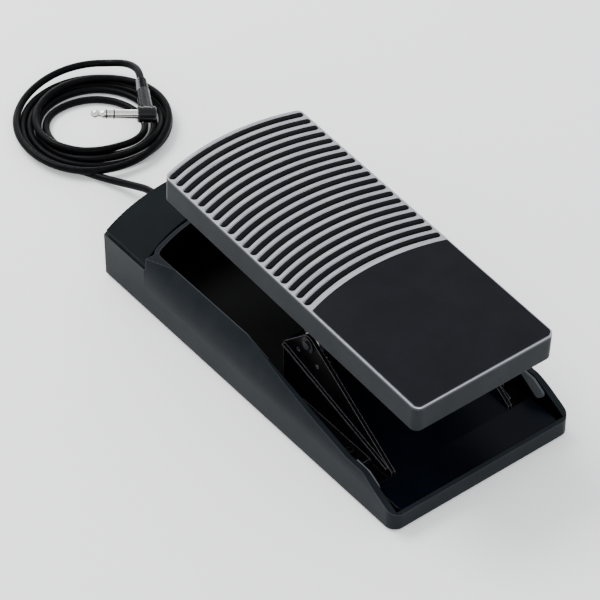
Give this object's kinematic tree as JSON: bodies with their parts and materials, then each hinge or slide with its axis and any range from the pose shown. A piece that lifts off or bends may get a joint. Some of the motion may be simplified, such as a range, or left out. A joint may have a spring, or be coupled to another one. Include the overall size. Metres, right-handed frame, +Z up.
{
  "type": "expression pedal",
  "caption": "Rocking treadle foot pedal on a low walled base, with arched grip ribs, a smooth heel panel and a coiled cable ending in a right-angle plug.",
  "frame": {"origin": "on the floor, under the centre of the pedal's plan without its cable", "axes": "+X to the user's right, +Y from the heel edge to the toe and cable edge, +Z up from the floor"},
  "size_m": [0.136, 0.4654, 0.1027],
  "materials": {
    "housing": "satin moulded black plastic",
    "deck": "gloss black plastic",
    "cover": "fine textured dark grey plastic",
    "treadle": "satin black plastic",
    "anodised": "satin anodised",
    "panel": "satin black panel",
    "black_steel": "satin black paint",
    "steel": "bright zinc",
    "tongue": "matt dark grey plastic",
    "rubber": "soft black rubber",
    "nylon": "natural nylon",
    "bronze": "sintered bronze",
    "pot_case": "plated can",
    "tinned": "tinned",
    "wire": "insulated hook-up wire",
    "cord": "black cable jacket",
    "plug_black": "gloss black moulding",
    "nickel": "nickel plate"
  },
  "bodies": {
    "base": {"base_housing": "housing", "wall_tongues": "tongue", "bottom_plate": "black_steel", "rubber_feet": "rubber", "plate_screws": "steel", "heel_deck": "deck", "toe_cover": "cover", "left_cheek": "black_steel", "right_cheek": "black_steel", "cheek_screws": "steel", "pivot_shaft": "steel", "shaft_clips": "steel", "friction_washers": "nylon", "stop_pins": "steel", "stop_sleeves": "rubber", "pot_body": "pot_case", "pot_nut": "steel", "pot_bracket": "steel", "pot_screws": "steel", "pot_terminals": "tinned", "signal_wires": "wire", "cable_gland": "rubber", "cable_clamp": "nylon", "cord_inner": "cord", "cord_lead": "cord", "cord_coil": "cord", "cord_tail": "cord", "plug_body": "plug_black", "plug_relief": "rubber", "plug_sleeve": "nickel", "plug_ring": "nickel", "plug_insulators": "nylon", "plug_tip": "nickel"},
    "treadle": {"treadle_body": "treadle", "tread_mat": "rubber", "tread_plate": "anodised", "heel_panel": "panel", "tread_screws": "steel", "toe_pads": "rubber", "pivot_bushes": "bronze", "gear_sector": "black_steel", "sector_screws": "steel"},
    "pinion": {"pinion_gear": "nylon", "pot_shaft": "steel"}
  },
  "joints": [
    {"name": "treadle_pivot", "type": "hinge", "parent": "base", "child": "treadle", "pos_m": [0, -0.043, 0.058], "axis": [1, 0, 0], "range_deg": [-15, 15]},
    {"name": "pot_turn", "type": "hinge", "parent": "base", "child": "pinion", "pos_m": [0, -0.043, 0.02], "axis": [1, 0, 0], "range_deg": [-81, 81]}
  ],
  "couplings": [
    {"joint": "pot_turn", "follows": "treadle_pivot", "ratio": -5.3333}
  ]
}
